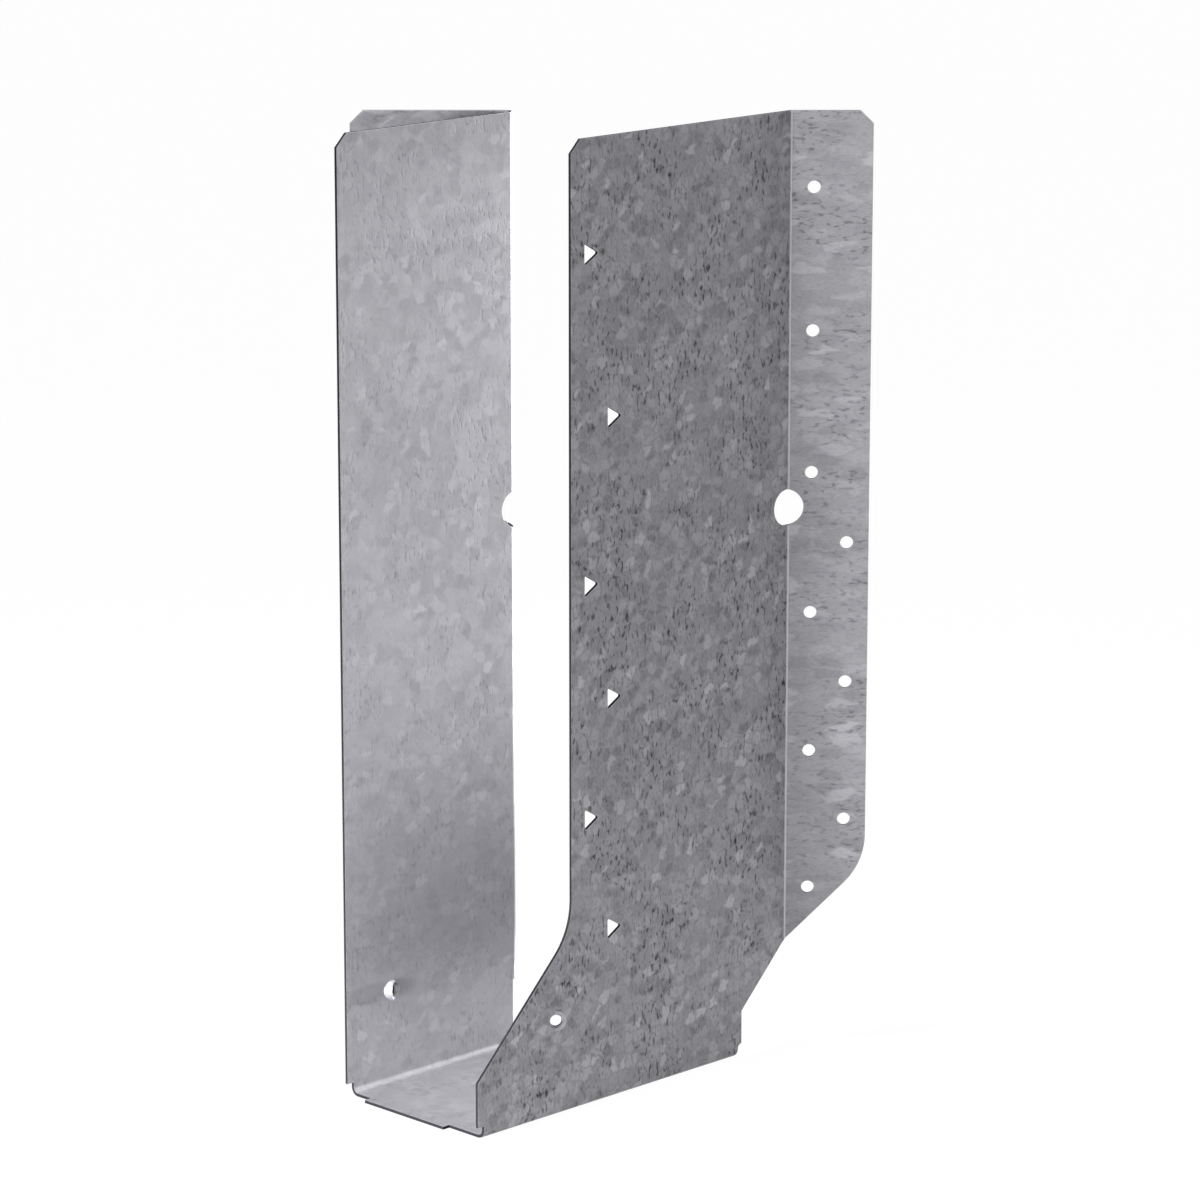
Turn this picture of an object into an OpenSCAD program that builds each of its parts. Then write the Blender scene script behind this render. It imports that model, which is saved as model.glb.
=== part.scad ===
// Skewed face-mount joist hanger, folded from one sheet of galvanised steel.
// The joist comes in at an angle to the header: one side meets it at an obtuse corner
// (right, short flange), the other at an acute corner (left, long flange folded back).
// Origin: middle of the seat's underside. +Z up, +Y into the header, +X to the right.

/* [Sheet] */
// Sheet thickness
sheet_t = 1.2; // [1:0.05:1.6]
// Inside radius of every fold
fold_r = 2; // [1.5:0.1:2.6]

/* [Pocket] */
// Clear width between the two walls
joist_gap = 65.1; // [50:0.1:90]
// Height of the walls and flanges above the seat's underside
height = 339.8; // [300:0.2:400]
// Header face to the front edge of the seat, along the middle of the joist
seat_reach = 121; // [112:0.5:140]

/* [Walls] */
// Header face to the front edge of the right wall's upper part, along the joist
right_wall_reach = 75.9; // [72:0.1:84]
// Height at which the right wall's sloping front edge reaches the seat's front
toe_h = 20.6; // [16:0.1:24]
// Radius where the upright front edge sweeps into the sloping one
sweep_r = 25.4; // [15:0.1:32]
// Corner cut at the top of the walls and flanges
top_cut = 4.6; // [2:0.1:5.5]
// Right wall's rear edge below the slanted cut, back from its fold line
heel_setback = 22.2; // [18:0.1:26]

/* [Flanges] */
// Right flange, fold line to outer edge
right_flange_w = 28.6; // [26:0.1:36]
// Left flange, fold line to outer edge
left_flange_w = 58.3; // [54:0.1:70]
// Height at which each slanted lower edge would meet the flange's outer edge
slant_h = 68; // [64:0.5:74]
// Radius of the lower outer corner
corner_r = 25.4; // [15:0.1:28]
// Height of the left flange's level lower edge
left_flange_foot = 25.3; // [20:0.1:30]

/* [Header nail holes] */
// Diameter of the round holes
nail_d = 4.6; // [4:0.1:5.5]
// Flange edge to the outer column
nail_edge = 7.8; // [6:0.1:8.5]
// Distance between the two columns
nail_columns = 12.7; // [10:0.1:14]
// Height of the lowest hole
nail_z = 58.9; // [57:0.1:62]
// Distance between holes in a column
nail_pitch = 50.8; // [48:0.2:54]
// Number of holes in the outer column, halfway between those of the inner one
outer_nails = 3; // [1:1:4]
// Least distance from the top edge to the middle of a nail hole, on flanges and walls
nail_margin = 22; // [15:1:26]

/* [Joist nail holes] */
// Circle that fits inside each rounded triangle
triangle_d = 4.5; // [4:0.1:5.2]
// Corner radius of the triangles
triangle_r = 0.6; // [0.4:0.1:1]
// Wall's front edge to the middle of the front column
joist_nail_edge = 8.7; // [7:0.1:10]
// Distance between the two columns
joist_nail_columns = 11.1; // [9:0.1:13]
// Height of the lowest hole
joist_nail_z = 62.5; // [60:0.5:70]
// Height from one hole to the next among the lower four
joist_pitch_low = 41.3; // [36:0.1:43]
// Height from one hole to the next among the upper ones
joist_pitch_high = 57.1; // [50:0.1:60]
// Number of holes, in turn in the rear and the front column
joist_nail_count = 6; // [4:1:6]

/* [Fold holes] */
// Diameter of the hole punched across each upright fold
fold_hole_d = 13; // [9:0.1:14]
// Height of its middle
fold_hole_z = 198.8; // [190:0.2:210]
// Its middle from the fold's middle, towards the wall, in the flat sheet
fold_hole_shift = 0.9; // [0:0.1:1.2]

/* [Slant nail guides] */
// Bore of the guide
guide_bore = 4.2; // [3.8:0.1:4.4]
// Outside diameter of the raised collar
guide_d = 7.2; // [7:0.1:8]
// Width of the collar's rim
guide_rim = 1; // [0.7:0.1:1.1]
// Height of the rim above the floor round the bore
guide_lip = 0.5; // [0.3:0.1:0.8]
// Tilt of the nail from a line square to the wall, towards the header
guide_tilt = 35; // [20:1:45]
// Height of both guides
guide_z = 34.8; // [30:0.1:38]
// Seat's front edge to the right wall's guide
right_guide_setback = 37.8; // [34:0.1:42]
// Seat's front edge to the left wall's guide
left_guide_setback = 21.6; // [18:0.1:26]

/* [Seat edge] */
// Width of the tongue at the seat's front
tongue_w = 40; // [30:0.5:44]
// Tongue to the outside of the right wall
tongue_side = 17.5; // [10:0.1:20]
// Depth of the front notches across the seat folds
front_relief = 2.9; // [2:0.1:4]
// Height to which those notches run up the walls
relief_h = 4.8; // [4.6:0.1:6]
// Radius of the round notch at the rear of each seat fold
rear_relief = 1.8; // [1.2:0.1:2]

/* [Hidden] */
$fn = 64;
steel = [0.62, 0.62, 0.64];

// Angle between the joist and a line square to the header, fixed for this hanger
skew = 45;

// Rounds are drawn this much larger, and folds this much thinner, than the faces that
// they blend into, so that surfaces cross or step there and never only graze each other
tuck = 0.002;
// Angle by which each fold laps into the flat pieces on both sides of it
fold_lap = 1;
// The holes and cuts across an upright fold follow it in steps of this angle
fold_step = 45;

outer_r = fold_r + sheet_t;
half_gap = joist_gap / 2;
flat_half = half_gap - fold_r;
reach = 4 * outer_r;

// Fold angles, and the distance from each fold's outside corner to the start of its arc
right_turn = 90 - skew;
left_turn = 90 + skew;
right_tangent = outer_r * tan(right_turn / 2);
left_tangent = outer_r * tan(left_turn / 2);

// Along the joist, from the header face on the joist's middle line; forward is negative.
// Lengths are kept to a thousandth of a millimetre, so that pieces meet exactly.
function snap(length) = round(length * 1000) / 1000;
right_rear = snap(half_gap * tan(skew) - right_tangent);
left_rear = snap(-half_gap * tan(skew) - left_tangent);
right_fold_line = (half_gap + sheet_t) * tan(skew) - sheet_t / cos(skew);
heel = snap(right_fold_line - heel_setback);
relief_front = front_relief - seat_reach;
right_relief_rear = heel - rear_relief;
left_relief_rear = left_rear - rear_relief;
seat_middle = (relief_front + (right_relief_rear + left_relief_rear) / 2) / 2;

// Flat part of each flange, from the end of its fold to the outer edge
right_flat_w = snap(right_flange_w - fold_r * tan(right_turn / 2));
left_flat_w = snap(left_flange_w - fold_r * tan(left_turn / 2));

// Heights of the slanted lower edge where the right flange and the right wall meet their fold
slant_flange_z = slant_h - right_flat_w;
slant_wall_z = slant_h - right_flange_w + right_rear - right_fold_line;

top_nail_z = height - nail_margin;
nail_rows = floor((top_nail_z - nail_z) / nail_pitch) + 1;
joist_nails = [for (i = [0:joist_nail_count - 1])
  joist_nail_z + min(i, 3) * joist_pitch_low + max(i - 3, 0) * joist_pitch_high];

function unit(v) = v / norm(v);

// The area between a corner and a round of radius r that touches both of its edges,
// which leave the corner in directions a and b.
module corner_area(corner, a, b, r) {
  half = acos(unit(a) * unit(b)) / 2;
  middle = corner + unit(unit(a) + unit(b)) * r / sin(half);
  run = r / tan(half);
  difference() {
    polygon([corner, corner + unit(a) * run, middle, corner + unit(b) * run]);
    translate(middle) circle(r + tuck);
  }
}

// A triangle with rounded corners, flat side to the front and one corner to the header.
module triangle_hole() {
  corner_at = triangle_d - 2 * triangle_r;
  corners = [for (i = [0:2]) corner_at * [cos(120 * i), sin(120 * i)]];
  sides = [for (i = [0:2]) triangle_r * [cos(120 * i + 60), sin(120 * i + 60)]];
  polygon([for (i = [0:2]) each [corners[i] + sides[(i + 2) % 3], corners[i] + sides[i]]]);
  for (corner = corners)
    translate(corner) circle(triangle_r + tuck);
}

// Pieces drawn as (along the joist, height), stood up as a wall whose right face is at x.
module wall_plate(x) {
  translate([x - sheet_t, 0, 0]) rotate([90, 0, 90]) linear_extrude(sheet_t) children();
}

// Pieces drawn as (across, height), stood up flat against the header.
module flange_plate() {
  rotate([90, 0, 0]) linear_extrude(sheet_t) children();
}

// Lower edge of both walls: the front notch and the round rear notch.
module wall_foot_cuts(rear) {
  translate([-seat_reach, 0]) square([front_relief, relief_h]);
  translate([rear, outer_r]) circle(rear_relief);
}

module right_wall_outline() {
  sweep_corner = [-right_wall_reach, toe_h + seat_reach - right_wall_reach];
  difference() {
    union() {
      polygon([
        [right_rear, height], [top_cut - right_wall_reach, height],
        [-right_wall_reach, height - top_cut], sweep_corner,
        [-seat_reach, toe_h], [-seat_reach, outer_r],
        [heel, outer_r], [heel, slant_wall_z - (right_rear - heel)], [right_rear, slant_wall_z]
      ]);
      corner_area(sweep_corner, [0, 1], [-1, -1], sweep_r);
    }
    wall_foot_cuts(heel);
    for (i = [0:len(joist_nails) - 1])
      if (joist_nails[i] <= top_nail_z)
        translate([
          joist_nail_edge + (i + 1) % 2 * joist_nail_columns - right_wall_reach, joist_nails[i]
        ]) triangle_hole();
    fold_hole(right_rear, 1, right_turn, -1);
  }
}

module left_wall_outline() {
  difference() {
    polygon([
      [left_rear, height], [top_cut - seat_reach, height],
      [-seat_reach, height - top_cut], [-seat_reach, outer_r], [left_rear, outer_r]
    ]);
    wall_foot_cuts(left_rear);
    fold_hole(left_rear, 1, left_turn, -1);
  }
}

// One flange, drawn with its fold end at 0 and its outer edge at width.
module flange_outline(width, foot_z, turn) {
  slant_run = min(slant_h - foot_z, width);
  difference() {
    polygon([
      [0, height], [width - top_cut, height], [width, height - top_cut],
      [width, slant_h], [width - slant_run, slant_h - slant_run], [0, slant_h - slant_run]
    ]);
    corner_area([width, slant_h], [0, 1], [-1, -1], corner_r);
    for (i = [0:nail_rows - 1])
      translate([width - nail_edge - nail_columns, nail_z + i * nail_pitch]) circle(d = nail_d);
    for (i = [0:outer_nails - 1])
      translate([width - nail_edge, nail_z + (i + 0.5) * nail_pitch]) circle(d = nail_d);
    fold_hole(0, -1, turn, 1);
  }
}

// Length along the middle of the sheet in a fold of this angle
function arc_length(turn) = (fold_r + sheet_t / 2) * turn * PI / 180;

// The part of a fold hole that falls on a flat piece: the piece ends at 'end', the fold
// lies on the 'side' of it, and the hole is shifted towards the wall.
module fold_hole(end, side, turn, shift) {
  translate([end + side * (arc_length(turn) / 2 + shift * fold_hole_shift), fold_hole_z])
    circle(d = fold_hole_d);
}

// An upright fold about its own axis, from height z to the top. The children are cut from
// it: they are drawn as (length round the fold, height) and stay square to the sheet.
module upright_fold(start, turn, z) {
  difference() {
    rotate_extrude(angle = turn + 2 * fold_lap, start = start - fold_lap)
      translate([fold_r + tuck, z + tuck]) square([sheet_t - 2 * tuck, height - z - 2 * tuck]);
    for (a = [0:fold_step:turn])
      intersection() {
        rotate_extrude(angle = fold_step, start = start + a - fold_step / 2) square([2 * outer_r, height]);
        rotate([0, 0, start + a]) translate([0, -arc_length(a), 0])
          rotate([90, 0, 90]) linear_extrude(2 * outer_r) children();
      }
  }
}

// Right fold and flange. The fold's lower end carries on the slanted edges beside it.
module right_flange() {
  arc = arc_length(right_turn);
  slope = (slant_wall_z - slant_flange_z) / arc;
  translate([half_gap + outer_r, right_rear, 0]) {
    upright_fold(180 - right_turn, right_turn, slant_wall_z - 2 * outer_r) {
      translate([arc / 2 + fold_hole_shift, fold_hole_z]) circle(d = fold_hole_d + 2 * tuck);
      translate([0, slant_flange_z + tuck])
        polygon([[-arc, -arc * slope], [2 * arc, 2 * arc * slope], [2 * arc, -reach], [-arc, -reach]]);
    }
    rotate([0, 0, skew]) translate([0, outer_r, 0]) flange_plate()
      flange_outline(right_flat_w, 0, right_turn);
  }
}

// Left fold and flange, its lower end cut level.
module left_flange() {
  translate([-half_gap - outer_r, left_rear, 0]) {
    upright_fold(0, left_turn, left_flange_foot)
      translate([arc_length(left_turn) / 2 - fold_hole_shift, fold_hole_z])
        circle(d = fold_hole_d + 2 * tuck);
    rotate([0, 0, skew]) translate([0, outer_r, 0]) mirror([1, 0, 0]) flange_plate()
      flange_outline(left_flat_w, left_flange_foot, left_turn);
  }
}

// A fold between the seat and a wall, from rear to front.
module seat_fold(side, rear) {
  translate([side * flat_half, rear - tuck, outer_r]) rotate([90, 0, 0])
    rotate_extrude(angle = 90 + 2 * fold_lap, start = (side > 0 ? 270 : 180) - fold_lap)
      translate([fold_r + tuck, 0]) square([sheet_t - 2 * tuck, rear - relief_front - 2 * tuck]);
}

// The flat of the seat. Its rear edge runs between the notches, square to the walls at first.
module seat_plate() {
  tongue_right = half_gap + sheet_t - tongue_side;
  linear_extrude(sheet_t)
    polygon([
      [flat_half, right_relief_rear], [flat_half - rear_relief, right_relief_rear],
      [-flat_half, left_relief_rear], [-flat_half, relief_front],
      [tongue_right - tongue_w, relief_front], [tongue_right - tongue_w, -seat_reach],
      [tongue_right, -seat_reach], [tongue_right, relief_front], [flat_half, relief_front]
    ]);
}

// Stamped guide for a slanted nail, about the middle of a wall whose outside faces +X.
// The nail enters from the front and leaves towards the header. The metal is turned
// square to the nail: its rear half stands out of the wall and its front half sinks in.
module guide_axis() {
  rotate([0, 0, -guide_tilt]) rotate([0, 90, 0]) children();
}

module guide_collar() {
  lip = sheet_t / 2 + guide_lip;
  along = [sin(guide_tilt), cos(guide_tilt)];
  corner = [0, lip / sin(guide_tilt)];
  half_plan = [-corner, -corner + reach * along, [reach, reach], [0, reach]];
  intersection() {
    guide_axis() cylinder(h = 4 * reach, d = guide_d, center = true);
    linear_extrude(2 * guide_d, center = true)
      polygon([each half_plan, each -half_plan]);
  }
}

module guide_cuts() {
  recess_r = guide_d / 2 - guide_rim;
  guide_axis()
    rotate_extrude()
      polygon([
        [0, -reach], [recess_r, -reach], [recess_r, -sheet_t / 2], [guide_bore / 2, -sheet_t / 2],
        [guide_bore / 2, sheet_t / 2], [recess_r, sheet_t / 2], [recess_r, reach], [0, reach]
      ]);
}

// A wall with its guide; side is 1 for the right wall and -1 for the left.
module guided_wall(side, setback) {
  place = [side * (half_gap + sheet_t / 2), setback - seat_reach, guide_z];
  difference() {
    union() {
      children();
      translate(place) mirror([side < 0 ? 1 : 0, 0, 0]) guide_collar();
    }
    translate(place) mirror([side < 0 ? 1 : 0, 0, 0]) guide_cuts();
  }
}

module hanger() {
  color(steel)
    rotate([0, 0, -skew]) translate([0, -seat_middle, 0]) {
      guided_wall(1, right_guide_setback) wall_plate(half_gap + sheet_t) right_wall_outline();
      guided_wall(-1, left_guide_setback) wall_plate(-half_gap) left_wall_outline();
      seat_fold(1, right_relief_rear);
      seat_fold(-1, left_relief_rear);
      seat_plate();
      right_flange();
      left_flange();
    }
}

hanger();
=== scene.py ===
import math

import bmesh
import bpy
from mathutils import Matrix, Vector


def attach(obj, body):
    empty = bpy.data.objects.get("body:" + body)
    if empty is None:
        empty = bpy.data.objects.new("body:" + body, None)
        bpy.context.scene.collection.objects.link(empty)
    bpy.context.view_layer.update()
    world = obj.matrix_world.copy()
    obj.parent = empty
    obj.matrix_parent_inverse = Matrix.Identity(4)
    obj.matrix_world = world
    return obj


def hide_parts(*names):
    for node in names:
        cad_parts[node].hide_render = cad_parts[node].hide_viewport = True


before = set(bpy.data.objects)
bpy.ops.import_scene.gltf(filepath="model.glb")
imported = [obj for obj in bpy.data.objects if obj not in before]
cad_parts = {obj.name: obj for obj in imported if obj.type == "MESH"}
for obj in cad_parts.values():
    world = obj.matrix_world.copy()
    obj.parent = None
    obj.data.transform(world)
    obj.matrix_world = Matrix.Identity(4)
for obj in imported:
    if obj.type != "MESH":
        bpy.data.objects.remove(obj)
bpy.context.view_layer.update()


# Camera
# A long lens from just above, square to the header, so that the hanger's upright lines
# stay nearly parallel and the look down into the seat stays shallow.

camera = bpy.data.objects.new("camera", bpy.data.cameras.new("camera"))
bpy.context.collection.objects.link(camera)
camera.data.sensor_width = 36
camera.data.lens = 149.14
camera.data.clip_start = 0.05
camera.data.clip_end = 50
camera.location = (0.02835, -1.67502, 0.56604)
camera.rotation_euler = (math.radians(76.8875), 0, math.radians(0.0231))
bpy.context.scene.camera = camera


# Folded sheet
# One blank of galvanised steel, punched, sheared and folded into seat, walls and flanges.
# The shear rolls the rim of each skin over a little. The zinc on it comes below.

ROLL_WIDTH = 0.00024
ROLL_DROP = 0.00007
SAME_POINT = 0.00002
SAME_PLANE = math.radians(0.4)
FOLD_STEP = math.radians(12)
SOFT_EDGE = math.radians(35)
HALF_FLANGE_FOLD = math.radians(22.5)
HALF_SEAT_FOLD = math.radians(45)
JOIST_LINE = Vector((1, 1, 0)).normalized()
WALL_FACE = Vector((1, -1, 0)).normalized()
FLANGE_FACE = Vector((0, -1, 0))
SEAT_FACE = Vector((0, 0, 1))
OUTER_SKIN = 0
BETWEEN_SKINS = 0.5
INNER_SKIN = 1

# The two slant nail guides: the middle of each punched bore, and the way it runs.
GUIDES = (
    (Vector((0.0124, -0.0345, 0.0348)), Vector((0.1736, -0.9848, 0))),
    (Vector((-0.046, 0.0009, 0.0348)), Vector((-0.9848, 0.1736, 0))))
BORE_REACH = 0.0024
# How much painted highlight, a paler zinc, the rims and the guide collars take.
RIM_HIGHLIGHT = 1
COLLAR_HIGHLIGHT = 0.8

# How strongly the crystals show, and how the grain is drawn out in the rolling of the
# strip. Seat, flanges and walls each take their own part of the pattern, well apart.
INNER_SPANGLE = 0.35
FLANGE_SPANGLE = 0.7
OUTER_SPANGLE = 1.2
FLANGE_STRETCH = 0.4
WALL_STRETCH = 0.45
SEAT_PART = 2
FLANGE_PART = 4
WALL_PART = 6

sheet_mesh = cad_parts["hanger"].data.copy()
sheet_mesh.name = "folded_sheet"
sheet_mesh.materials.clear()
form = bmesh.new()
form.from_mesh(sheet_mesh)
bmesh.ops.remove_doubles(form, verts=form.verts, dist=SAME_POINT)
bmesh.ops.dissolve_degenerate(form, edges=form.edges, dist=SAME_POINT)
bmesh.ops.dissolve_limit(
    form, angle_limit=SAME_PLANE, verts=form.verts, edges=form.edges)


def is_soft(edge, limit):
    """Whether the sheet turns by less than the limit at an edge."""
    return edge.is_manifold and edge.calc_face_angle() < limit


def is_hollow(edge):
    """Whether an edge is one step of a fold, on the fold's hollow side."""
    return edge.is_manifold and not edge.is_convex and is_soft(edge, FOLD_STEP)


def in_bore(face):
    """Whether a face belongs to the punched bore of a nail guide."""
    for middle, axis in GUIDES:
        near = (face.calc_center_median() - middle).length < BORE_REACH
        if near and abs(face.normal.dot(axis)) < 0.5:
            return True
    return False


def smooth_regions(faces):
    """Groups of faces that run into each other without a sharp edge, largest first."""
    waiting = set(faces)
    regions = []
    while waiting:
        region = [waiting.pop()]
        for face in region:
            for edge in face.edges:
                for neighbour in edge.link_faces:
                    if neighbour in waiting and is_soft(edge, FOLD_STEP):
                        waiting.discard(neighbour)
                        region.append(neighbour)
        regions.append(region)
    return sorted(regions, key=lambda region: -sum(face.calc_area() for face in region))


def points_of(faces):
    """Every point that a face of the group stands on."""
    return {point for face in faces for point in face.verts}


# The largest two regions are the skins, the inner one first. A region that touches both
# is a sheared or punched face, and the rest are the collars of the nail guides.
depth = form.verts.layers.float.new("depth")
cut = form.faces.layers.float.new("cut")
bend = form.verts.layers.float.new("bend")
edge_highlight = form.faces.layers.float.new("edge_highlight")
regions = smooth_regions(form.faces)
for point in form.verts:
    point[depth] = BETWEEN_SKINS
for level, skin in zip((INNER_SKIN, OUTER_SKIN), regions):
    for point in points_of(skin):
        point[depth] = level
# Cut faces and the bores take the dark cut colour, which paints the shade on the cut and a
# painted shadow inside each bore; the guide collars take a painted highlight.
for region in regions[2:]:
    levels = {point[depth] for point in points_of(region)}
    for face in region:
        face[cut] = levels >= {OUTER_SKIN, INNER_SKIN} or in_bore(face)
        face[edge_highlight] = 0 if face[cut] else COLLAR_HIGHLIGHT

# Each skin gets its rim, dropped a little into a rollover and given a painted highlight.
# On the hollow side of a fold, "bend" runs up to 1 in the middle of an upright fold, where
# it paints a highlight along the fold, and down to -1 in the middle of a seat fold.
drops = {}
for skin in regions[:2]:
    rim = bmesh.ops.inset_region(
        form, faces=skin, thickness=ROLL_WIDTH, use_even_offset=False, use_boundary=True)
    whole = set(skin) | set(rim["faces"])
    for face in rim["faces"]:
        face[cut] = 0
        face[edge_highlight] = RIM_HIGHLIGHT
    for point in points_of(whole):
        sides = [face.normal for face in point.link_faces if face in whole]
        facing = sum(sides, Vector()).normalized()
        if any(is_hollow(edge) for edge in point.link_edges):
            flats = [abs(facing.dot(flat)) for flat in (WALL_FACE, FLANGE_FACE, SEAT_FACE)]
            turned = math.acos(min(1, max(flats)))
            at_seat = abs(facing.z) > 0.01
            point[bend] = -turned / HALF_SEAT_FOLD if at_seat else turned / HALF_FLANGE_FOLD
        if any(face not in whole for face in point.link_faces):
            drops[point] = facing * ROLL_DROP
for point, drop in drops.items():
    point.co -= drop
form.normal_update()
for edge in form.edges:
    edge.smooth = is_soft(edge, SOFT_EDGE)

# Two maps in metres of sheet: "grain" for the crystals, and "fleck" for the creases,
# which are drawn out along the walls.
grain = form.loops.layers.uv.new("grain")
fleck = form.loops.layers.uv.new("fleck")
spangle = form.faces.layers.float.new("spangle")
for face in form.faces:
    face.smooth = True
    along_wall, across_flange, over_seat = (
        abs(face.normal.dot(flat)) for flat in (WALL_FACE, FLANGE_FACE, SEAT_FACE))
    on_flange = across_flange > along_wall
    if face.verts[0][depth] > BETWEEN_SKINS:
        face[spangle] = INNER_SPANGLE
    else:
        face[spangle] = FLANGE_SPANGLE if on_flange else OUTER_SPANGLE
    squash = 1 if on_flange else WALL_STRETCH
    for corner in face.loops:
        place = corner.vert.co
        side = round(corner.vert[depth])
        if over_seat > max(along_wall, across_flange):
            across = place.dot(JOIST_LINE)
            up = place.dot(WALL_FACE) + SEAT_PART + side
        elif on_flange:
            across = place.x * FLANGE_STRETCH
            up = place.z + FLANGE_PART + side
        else:
            across = place.dot(JOIST_LINE) + math.copysign(1, place.dot(WALL_FACE))
            up = place.z + WALL_PART + side
        corner[grain].uv = (across, up)
        corner[fleck].uv = (across, corner[grain].uv.y * squash)
form.to_mesh(sheet_mesh)
form.free()

sheet = bpy.data.objects.new("folded_sheet", sheet_mesh)
bpy.context.collection.objects.link(sheet)
flat_faces = sheet.modifiers.new("flat_faces", "WEIGHTED_NORMAL")
flat_faces.keep_sharp = True
flat_faces.weight = 100
posed = sheet.evaluated_get(bpy.context.evaluated_depsgraph_get())
sheet.data = bpy.data.meshes.new_from_object(posed)
sheet.modifiers.clear()
sheet.data.name = "folded_sheet"


# Zinc coat of the sheet
# Hot-dip zinc sets in soft crystals a few millimetres across, with fine dark creases
# between them, and shows most on the outer side. Upright folds, rims and guide collars
# carry a painted highlight, a paler zinc, and seat folds stay dull. The sheared faces are
# bare steel, painted much darker as the shade they show, and so are the bores.

CRYSTALS_PER_METRE = 235
SWAYS_PER_METRE = 330
SWAY_REACH = (0.004, 0.004, 0.004)
CLUSTERS_PER_METRE = 60
CREASES_PER_METRE = 780
DRIFTS_PER_METRE = 45
CLOUDS_PER_METRE = 18
GRAINS_PER_METRE = 1500
PALE_SHARE = 0.28
GREY_SHARE = 0.48
CREASE_SHARE = -0.62
GRAIN_SHARE = 0.5
CLOUD_SHARE = 0.16
EDGE_HIGHLIGHT_SHARE = 0.25
ZINC_GREY = (0.311, 0.3065, 0.329)
# Painted highlight: the paler zinc laid on upright folds, rims and guide collars.
PAINTED_HIGHLIGHT = (0.6, 0.6, 0.63, 1)
# Bare steel of the cut faces, painted much darker than bare steel as the shade they show.
CUT_STEEL_AND_SHADE = (0.03, 0.03, 0.036, 1)
ZINC_METAL = 0.38
SMOOTHEST, ROUGHEST = 0.37, 0.47
SEAT_FOLD_ROUGHNESS = 0.58
TORN_ROUGHNESS = 0.9
COAT_GLINT, TORN_GLINT = 0.5, 0.05
RELIEF = 0.00008
RELIEF_STRENGTH = 0.25


def add(tree, kind, place, **settings):
    node = tree.nodes.new(kind)
    node.location = place
    for key, value in settings.items():
        setattr(node, key, value)
    return node


def math_node(tree, place, operation, first, second, third=None):
    node = add(tree, "ShaderNodeMath", place, operation=operation)
    for socket, value in zip(node.inputs, (first, second, third)):
        if isinstance(value, bpy.types.NodeSocket):
            tree.links.new(value, socket)
        elif value is not None:
            socket.default_value = value
    return node.outputs[0]


def step_node(tree, place, value, low, high, to_low=0, to_high=1):
    """A smooth step: to_low where the value is below low, to_high where it's above high."""
    node = add(tree, "ShaderNodeMapRange", place, interpolation_type="SMOOTHSTEP")
    tree.links.new(value, node.inputs["Value"])
    node.inputs["From Min"].default_value = low
    node.inputs["From Max"].default_value = high
    node.inputs["To Min"].default_value = to_low
    node.inputs["To Max"].default_value = to_high
    return node.outputs["Result"]


def noise_node(tree, place, vector, scale, detail, roughness=0.5, distortion=0):
    node = add(tree, "ShaderNodeTexNoise", place, noise_dimensions="2D")
    tree.links.new(vector, node.inputs["Vector"])
    node.inputs["Scale"].default_value = scale
    node.inputs["Detail"].default_value = detail
    node.inputs["Roughness"].default_value = roughness
    node.inputs["Distortion"].default_value = distortion
    return node.outputs["Fac"]


def attribute_node(tree, place, name):
    return add(tree, "ShaderNodeAttribute", place, attribute_name=name).outputs["Fac"]


zinc = bpy.data.materials.new("galvanised_steel")
zinc.use_nodes = True
tree = zinc.node_tree
link = tree.links.new
shader = tree.nodes["Principled BSDF"]
shader.location = (1500, 0)
tree.nodes["Material Output"].location = (1800, 0)

# The grain map, swayed a little so that no crystal has straight sides.
grain_uv = add(tree, "ShaderNodeUVMap", (-2200, 0), uv_map="grain").outputs["UV"]
sway = add(tree, "ShaderNodeTexNoise", (-2000, -200), noise_dimensions="2D")
sway.inputs["Scale"].default_value = SWAYS_PER_METRE
sway.inputs["Detail"].default_value = 3
link(grain_uv, sway.inputs["Vector"])
centred = add(tree, "ShaderNodeVectorMath", (-1800, -200), operation="SUBTRACT")
centred.inputs[1].default_value = (0.5, 0.5, 0.5)
link(sway.outputs["Color"], centred.inputs[0])
shift = add(tree, "ShaderNodeVectorMath", (-1600, -100), operation="MULTIPLY_ADD")
shift.inputs[1].default_value = SWAY_REACH
link(centred.outputs[0], shift.inputs[0])
link(grain_uv, shift.inputs[2])
swayed = shift.outputs[0]

# Crystals: each cell a slightly different grey, a few of them clearly paler.
crystal = add(tree, "ShaderNodeTexVoronoi", (-1300, 500), voronoi_dimensions="2D")
crystal.inputs["Scale"].default_value = CRYSTALS_PER_METRE
link(swayed, crystal.inputs["Vector"])
crystal_tone = add(tree, "ShaderNodeSeparateColor", (-1100, 500))
link(crystal.outputs["Color"], crystal_tone.inputs[0])
joint = add(tree, "ShaderNodeTexVoronoi", (-1300, 200), voronoi_dimensions="2D",
            feature="DISTANCE_TO_EDGE")
joint.inputs["Scale"].default_value = CRYSTALS_PER_METRE
link(swayed, joint.inputs["Vector"])
inside_crystal = step_node(tree, (-1100, 200), joint.outputs["Distance"], 0.0, 0.22)
cluster = noise_node(tree, (-1300, 800), grain_uv, CLUSTERS_PER_METRE, 2)
rare = math_node(tree, (-1000, 700), "MULTIPLY_ADD", cluster, 0.5, crystal_tone.outputs[1])
pale = math_node(tree, (-700, 500), "MULTIPLY",
                 step_node(tree, (-900, 600), rare, 1.0, 1.12), inside_crystal)
grey = math_node(tree, (-900, 350), "SUBTRACT", crystal_tone.outputs[0], 0.5)
grey = math_node(tree, (-700, 350), "MULTIPLY", grey, inside_crystal)

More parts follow.
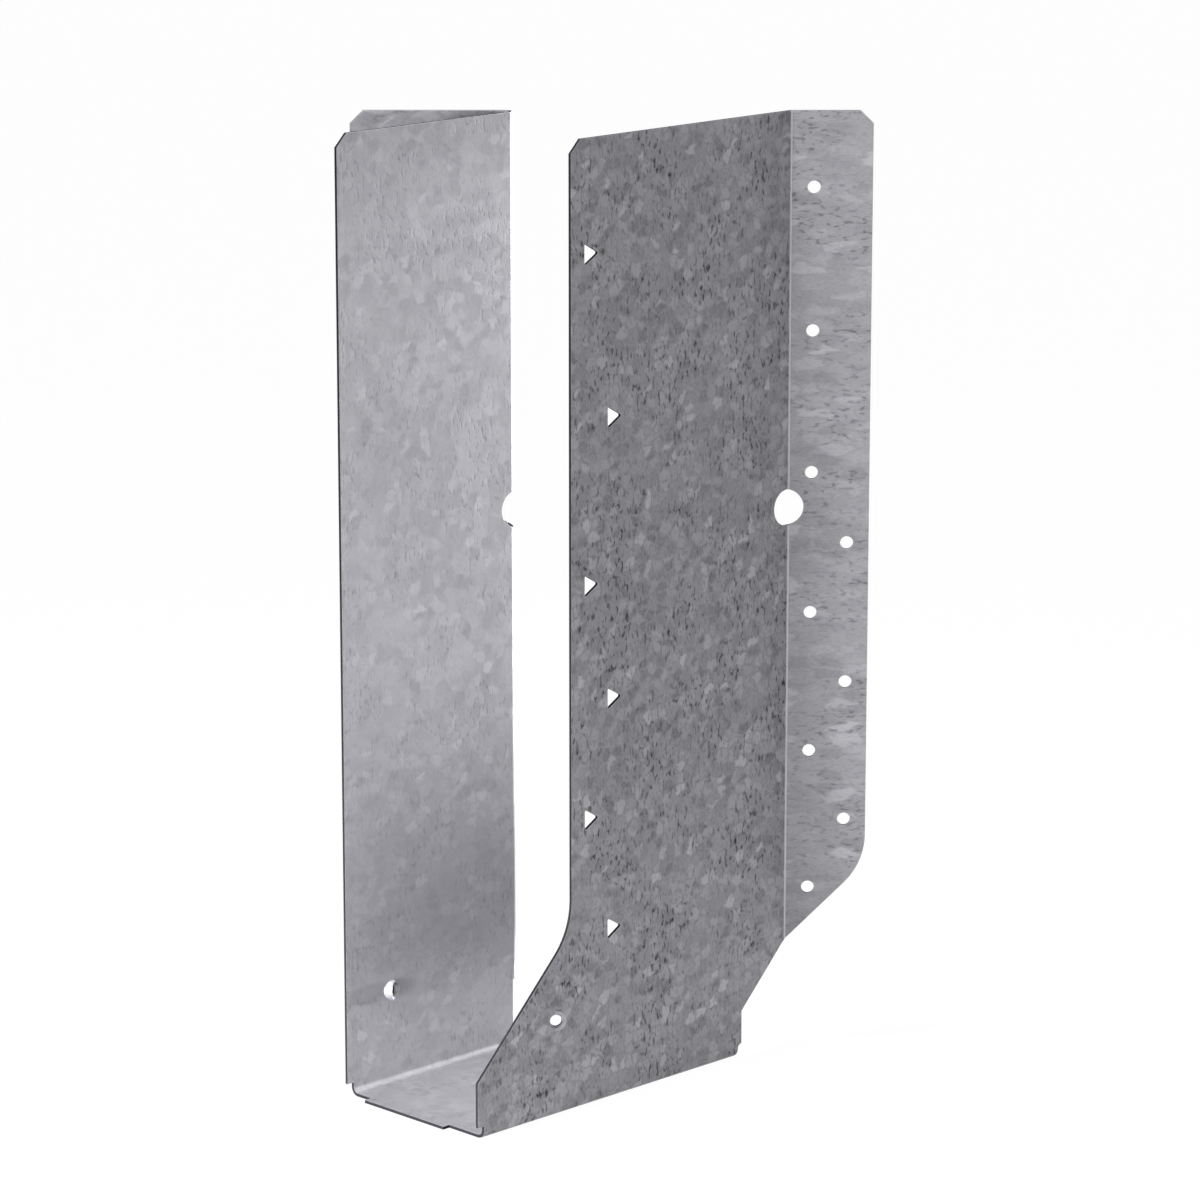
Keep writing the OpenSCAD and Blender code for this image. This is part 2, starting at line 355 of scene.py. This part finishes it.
# Creases: short dark flecks, in drifts. With them go broad clouds and a fine grain.
fleck_uv = add(tree, "ShaderNodeUVMap", (-1600, -400), uv_map="fleck").outputs["UV"]
ridge = noise_node(tree, (-1300, -100), fleck_uv, CREASES_PER_METRE, 1, 0.5, 0.3)
drift = noise_node(tree, (-1300, -300), swayed, DRIFTS_PER_METRE, 3)
crease = math_node(tree, (-700, -100), "MULTIPLY",
                   step_node(tree, (-900, -100), ridge, 0.54, 0.76),
                   step_node(tree, (-900, -300), drift, 0.4, 0.62, 0.25, 1))
cloud = noise_node(tree, (-1300, -500), grain_uv, CLOUDS_PER_METRE, 2)
cloud = math_node(tree, (-700, -500), "SUBTRACT", cloud, 0.5)
fine = noise_node(tree, (-1300, -700), fleck_uv, GRAINS_PER_METRE, 2, 0.7)
fine = math_node(tree, (-700, -700), "SUBTRACT", fine, 0.5)

# The coat: all of these add up to lighten or darken one grey.
tone = math_node(tree, (-450, 500), "MULTIPLY", pale, PALE_SHARE)
tone = math_node(tree, (-250, 450), "MULTIPLY_ADD", grey, GREY_SHARE, tone)
tone = math_node(tree, (-50, 400), "MULTIPLY_ADD", crease, CREASE_SHARE, tone)
tone = math_node(tree, (150, 350), "MULTIPLY_ADD", fine, GRAIN_SHARE, tone)
strength = attribute_node(tree, (100, 100), "spangle")
tone = math_node(tree, (350, 300), "MULTIPLY", tone, strength)
tone = math_node(tree, (500, 250), "MULTIPLY_ADD", cloud, CLOUD_SHARE, tone)
tone = math_node(tree, (650, 200), "ADD", tone, 1)
coat = add(tree, "ShaderNodeVectorMath", (800, 200), operation="SCALE")
coat.inputs[0].default_value = ZINC_GREY
link(tone, coat.inputs["Scale"])

# Painted highlights: a paler zinc along upright folds, rims and guide collars. The cut
# faces are bare steel, painted dark as the shade they show.
bending = attribute_node(tree, (200, -100), "bend")
fold_highlight = step_node(tree, (400, -100), bending, 0.35, 0.85)
edge_highlight_fac = attribute_node(tree, (200, -300), "edge_highlight")
bright = math_node(tree, (600, -200), "MULTIPLY_ADD", edge_highlight_fac, EDGE_HIGHLIGHT_SHARE, fold_highlight)
highlight_mix = add(tree, "ShaderNodeMix", (1000, 200), data_type="RGBA")
link(bright, highlight_mix.inputs["Factor"])
link(coat.outputs[0], highlight_mix.inputs["A"])
highlight_mix.inputs["B"].default_value = PAINTED_HIGHLIGHT
cutting = attribute_node(tree, (200, -500), "cut")
cut_and_shade_mix = add(tree, "ShaderNodeMix", (1200, 200), data_type="RGBA")
link(cutting, cut_and_shade_mix.inputs["Factor"])
link(highlight_mix.outputs["Result"], cut_and_shade_mix.inputs["A"])
cut_and_shade_mix.inputs["B"].default_value = CUT_STEEL_AND_SHADE
link(cut_and_shade_mix.outputs["Result"], shader.inputs["Base Color"])
shader.inputs["Metallic"].default_value = ZINC_METAL

# Gloss: it differs from crystal to crystal, and goes at the seat folds and on the cut.
rough = step_node(
    tree, (900, -700), crystal_tone.outputs[2], 0, 1, SMOOTHEST, ROUGHEST)
dull = step_node(tree, (900, -500), bending, -0.7, -0.1, SEAT_FOLD_ROUGHNESS, 0)
rough = math_node(tree, (1100, -600), "MAXIMUM", rough, dull)
torn = math_node(tree, (1100, -500), "MULTIPLY", cutting, TORN_ROUGHNESS)
link(math_node(tree, (1300, -600), "MAXIMUM", rough, torn), shader.inputs["Roughness"])
glint = step_node(tree, (1100, -300), cutting, 0, 1, COAT_GLINT, TORN_GLINT)
link(glint, shader.inputs["Specular IOR Level"])
height = math_node(tree, (900, -900), "MULTIPLY_ADD", crease, -1, grey)
bump = add(tree, "ShaderNodeBump", (1200, -800))
bump.inputs["Strength"].default_value = RELIEF_STRENGTH
bump.inputs["Distance"].default_value = RELIEF
link(height, bump.inputs["Height"])
link(bump.outputs["Normal"], shader.inputs["Normal"])

sheet.data.materials.append(zinc)
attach(sheet, "root")
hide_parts("hanger")


# Floor and studio
# A plain white floor and a plain white room. To the camera and in the steel both show as
# white, and the floor keeps a faint shadow. The lamps are soft boxes of white cloth.

FLOOR_REACH = 20
PAPER = (0.8, 0.8, 0.8, 1)
PAPER_WHITE = 1.04
BARE_SHARE = 0.94
ROOM_LIGHT = 0.13


def seen_white(tree, x, y):
    """1 for what the camera sees, straight or in a gloss or glass, and 0 for the light."""
    rays = add(tree, "ShaderNodeLightPath", (x, y)).outputs
    seen = math_node(tree, (x + 200, y), "MAXIMUM",
                     rays["Is Camera Ray"], rays["Is Glossy Ray"])
    return math_node(tree, (x + 400, y), "MAXIMUM", seen, rays["Is Transmission Ray"])


corners = [(-FLOOR_REACH, -FLOOR_REACH, 0), (FLOOR_REACH, -FLOOR_REACH, 0),
           (FLOOR_REACH, FLOOR_REACH, 0), (-FLOOR_REACH, FLOOR_REACH, 0)]
floor_mesh = bpy.data.meshes.new("floor")
floor_mesh.from_pydata(corners, [], [(0, 1, 2, 3)])
floor = bpy.data.objects.new("floor", floor_mesh)
bpy.context.collection.objects.link(floor)

paper = bpy.data.materials.new("white_paper")
paper.use_nodes = True
tree = paper.node_tree
link = tree.links.new
matt = tree.nodes["Principled BSDF"]
matt.inputs["Base Color"].default_value = PAPER
matt.inputs["Roughness"].default_value = 0.9
bare = add(tree, "ShaderNodeEmission", (0, -300))
bare.inputs["Strength"].default_value = PAPER_WHITE
share = math_node(
    tree, (-200, 300), "MULTIPLY", seen_white(tree, -800, 300), BARE_SHARE)
mix = add(tree, "ShaderNodeMixShader", (200, 0))
link(share, mix.inputs[0])
link(matt.outputs[0], mix.inputs[1])
link(bare.outputs[0], mix.inputs[2])
link(mix.outputs[0], tree.nodes["Material Output"].inputs["Surface"])
floor_mesh.materials.append(paper)

world = bpy.data.worlds.new("room")
bpy.context.scene.world = world
world.use_nodes = True
tree = world.node_tree
link = tree.links.new
tree.nodes.clear()
soft = add(tree, "ShaderNodeBackground", (-200, 100))
soft.inputs["Strength"].default_value = ROOM_LIGHT
bare = add(tree, "ShaderNodeBackground", (-200, -100))
bare.inputs["Color"].default_value = (1, 1, 1, 1)
bare.inputs["Strength"].default_value = 1
mix = add(tree, "ShaderNodeMixShader", (0, 0))
link(seen_white(tree, -800, 0), mix.inputs[0])
link(soft.outputs[0], mix.inputs[1])
link(bare.outputs[0], mix.inputs[2])
out = add(tree, "ShaderNodeOutputWorld", (200, 0))
link(mix.outputs[0], out.inputs["Surface"])


def soft_box(name, place, aim, size, power, height=None, spread=180):
    """A round lamp, or a strip where it has a height. Spread is its cone, in degrees."""
    lamp = bpy.data.lights.new(name, "AREA")
    lamp.shape = "RECTANGLE" if height else "DISK"
    lamp.size = size
    lamp.size_y = height or size
    lamp.spread = math.radians(spread)
    lamp.energy = power
    box = bpy.data.objects.new(name, lamp)
    bpy.context.collection.objects.link(box)
    box.location = place
    box.rotation_euler = (Vector(aim) - Vector(place)).to_track_quat("-Z", "Y").to_euler()
    box.visible_camera = False


# One broad box in front, one overhead, two low in the mouth of the pocket, and two narrow
# ones behind, which throw their light along the pocket and leave the flanges' backs dim.
soft_box("front", (0, -1.5, 0.5), (0.02, 0, 0.17), 0.6, 3.3)
soft_box("above", (-0.03, -0.03, 0.8), (-0.03, -0.03, 0), 0.08, 4.8)
soft_box("mouth", (-0.2, -0.22, 0.05), (-0.02, -0.02, 0.02), 0.05, 1)
soft_box("mouth_low", (-0.16, -0.17, 0.02), (-0.03, -0.03, 0.005), 0.04, 0.45)
soft_box("rear_foot", (0.16, 0.165, 0.02), (-0.02, -0.02, 0.005), 0.02, 0.072, 0.02, 24)
soft_box("rear_strip", (0.16, 0.165, 0.215), (-0.02, -0.02, 0.215), 0.02, 0.325, 0.25, 34)

bpy.context.scene.view_settings.view_transform = "Standard"
